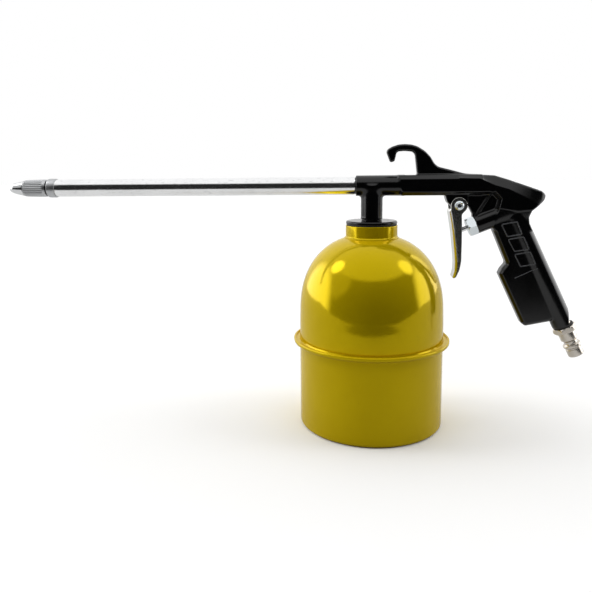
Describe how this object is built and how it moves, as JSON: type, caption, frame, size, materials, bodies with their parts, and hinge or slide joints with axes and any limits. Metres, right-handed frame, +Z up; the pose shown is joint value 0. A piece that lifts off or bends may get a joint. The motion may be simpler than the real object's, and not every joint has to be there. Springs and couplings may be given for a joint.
{
  "type": "siphon spray gun with bottom cup",
  "caption": "Air-operated siphon spray gun: pistol-grip cast body with hook and trigger, long straight lance with knurled nozzle, and a domed steel cup screwed on below.",
  "frame": {"origin": "centre of the cup's flat base, on the surface that it stands on", "axes": "+Z up along the cup's axis, -X along the lance towards the nozzle, +X towards the grip, +Y to the gun's far side"},
  "size_m": [0.4071, 0.1088, 0.1958],
  "materials": {
    "cup_paint": "gloss",
    "body_paint": "semi-gloss",
    "lid_black": "satin",
    "lance_steel": "bright plated",
    "trigger_steel": "bright plated",
    "polished_steel": "polished",
    "zinc_steel": "blue zinc plated",
    "nozzle_zinc": "matte zinc",
    "plug_nickel": "nickel plated",
    "brass_part": "machined",
    "spring_steel": "drawn wire",
    "rubber_seal": "matt",
    "dip_plastic": "natural"
  },
  "bodies": {
    "cup": {"cup_lower_shell": "cup_paint", "cup_dome_shell": "cup_paint", "cup_neck_collar": "cup_paint"},
    "lid_seal": {"lid_gasket": "rubber_seal"},
    "gun": {"cup_lid": "lid_black", "stem_washer": "lid_black", "lid_nut": "zinc_steel", "siphon_tube": "dip_plastic", "siphon_strainer": "dip_plastic", "gun_body": "body_paint", "lance_tube": "lance_steel", "lance_seal": "rubber_seal", "inner_fluid_tube": "brass_part", "fluid_bush": "brass_part", "nozzle_collar": "nozzle_zinc", "fluid_tip": "brass_part", "trigger_pin": "polished_steel", "pin_clip": "zinc_steel", "gland_nut": "zinc_steel", "stem_o_ring": "rubber_seal", "valve_seat": "brass_part", "return_spring": "spring_steel", "plug_washer": "rubber_seal", "air_plug": "plug_nickel"},
    "trigger": {"trigger": "trigger_steel"},
    "valve": {"valve_stem": "polished_steel", "valve_poppet": "brass_part", "poppet_seal": "rubber_seal"},
    "nozzle_seal": {"nozzle_o_ring": "rubber_seal"},
    "nozzle": {"nozzle_sleeve": "nozzle_zinc", "nozzle_tip": "polished_steel"}
  },
  "joints": [
    {"name": "lift_off", "type": "slide", "parent": "cup", "child": "lid_seal", "axis": [0, 0, 1], "range_m": [0, 0.16]},
    {"name": "unscrew", "type": "hinge", "parent": "lid_seal", "child": "gun", "pos_m": [0, 0, 0.14], "axis": [0, 0, 1], "range_deg": [0, 810]},
    {"name": "trigger_pull", "type": "hinge", "parent": "gun", "child": "trigger", "pos_m": [0.0578, 0, 0.1545], "axis": [0, -1, 0], "range_deg": [0, 12], "stiffness_Nm_per_rad": 1.2, "springref_deg": -8.59},
    {"name": "valve_travel", "type": "slide", "parent": "gun", "child": "valve", "axis": [0.9272, 0, 0.3746], "range_m": [0, 0.00377], "deforming": ["return_spring"]},
    {"name": "nozzle_feed", "type": "slide", "parent": "gun", "child": "nozzle_seal", "axis": [-1, 0, 0], "range_m": [0, 0.002]},
    {"name": "nozzle_turn", "type": "hinge", "parent": "nozzle_seal", "child": "nozzle", "pos_m": [-0.24, 0, 0.168], "axis": [-1, 0, 0], "range_deg": [0, 720]}
  ],
  "couplings": [
    {"joint": "trigger_pull", "follows": "valve_travel", "rad_per_m": 55.556},
    {"joint": "nozzle_turn", "follows": "nozzle_feed", "rad_per_m": 6283.2}
  ]
}
